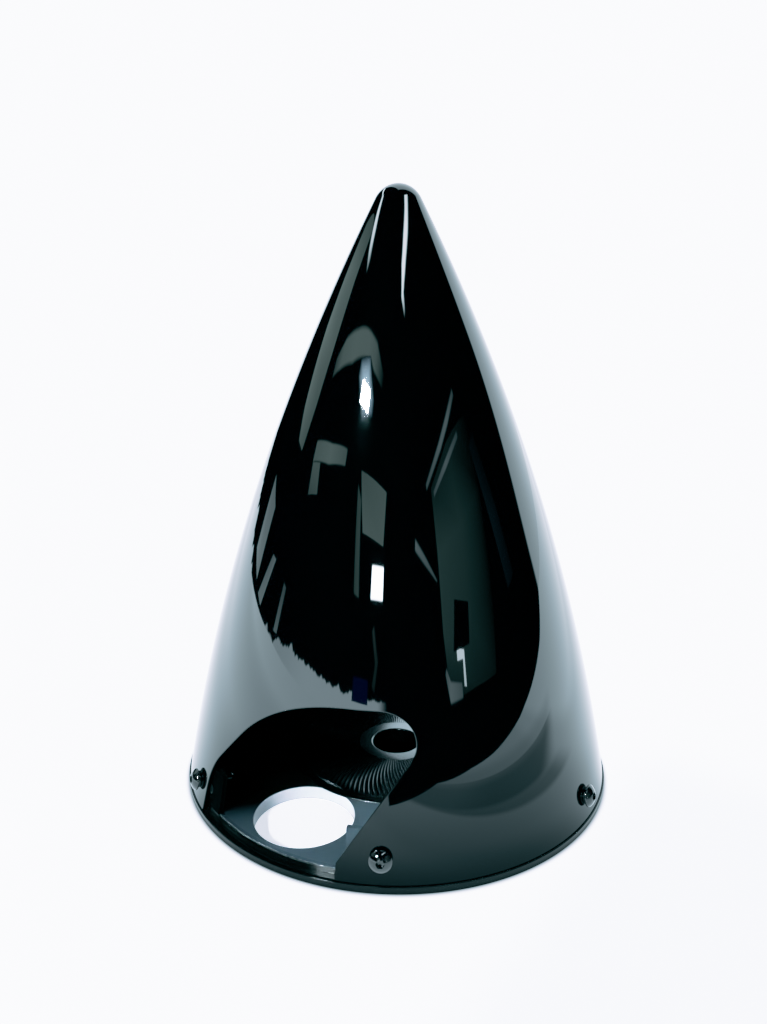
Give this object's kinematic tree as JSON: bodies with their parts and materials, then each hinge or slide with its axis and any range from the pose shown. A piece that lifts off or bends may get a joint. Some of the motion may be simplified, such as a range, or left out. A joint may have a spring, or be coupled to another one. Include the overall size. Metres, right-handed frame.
{
  "type": "propeller spinner",
  "caption": "Slim ogive propeller spinner with skewed blade cut-outs, screwed to the upright flange of a flat backplate with a ribbed hub disc and round lightening holes.",
  "frame": {"origin": "centre of the backplate's underside, on the spinner's axis", "axes": "+Z along the spinner's axis to the nose, the blades leave along -Y and +Y, one screw lies over +X"},
  "size_m": [0.2032, 0.2, 0.2664],
  "materials": {
    "gloss_black_shell": "high-gloss black clear coat over composite",
    "dark_plate": "dark satin anodised",
    "hub_metal": "machined and dark anodised",
    "black_screw": "glossy black oxide",
    "black_washer": "glossy black",
    "nut_steel": "plated steel",
    "rivet_metal": "bare aluminium"
  },
  "bodies": {
    "root": {"spinner_shell": "gloss_black_shell", "backplate": "dark_plate", "hub_disc": "hub_metal", "screw_1": "black_screw", "washer_1": "black_washer", "anchor_nut_1": "nut_steel", "rivet_1": "rivet_metal", "rivet_2": "rivet_metal", "screw_2": "black_screw", "washer_2": "black_washer", "anchor_nut_2": "nut_steel", "rivet_3": "rivet_metal", "rivet_4": "rivet_metal", "screw_3": "black_screw", "washer_3": "black_washer", "anchor_nut_3": "nut_steel", "rivet_5": "rivet_metal", "rivet_6": "rivet_metal", "screw_4": "black_screw", "washer_4": "black_washer", "anchor_nut_4": "nut_steel", "rivet_7": "rivet_metal", "rivet_8": "rivet_metal", "screw_5": "black_screw", "washer_5": "black_washer", "anchor_nut_5": "nut_steel", "rivet_9": "rivet_metal", "rivet_10": "rivet_metal", "screw_6": "black_screw", "washer_6": "black_washer", "anchor_nut_6": "nut_steel", "rivet_11": "rivet_metal", "rivet_12": "rivet_metal"}
  },
  "joints": []
}
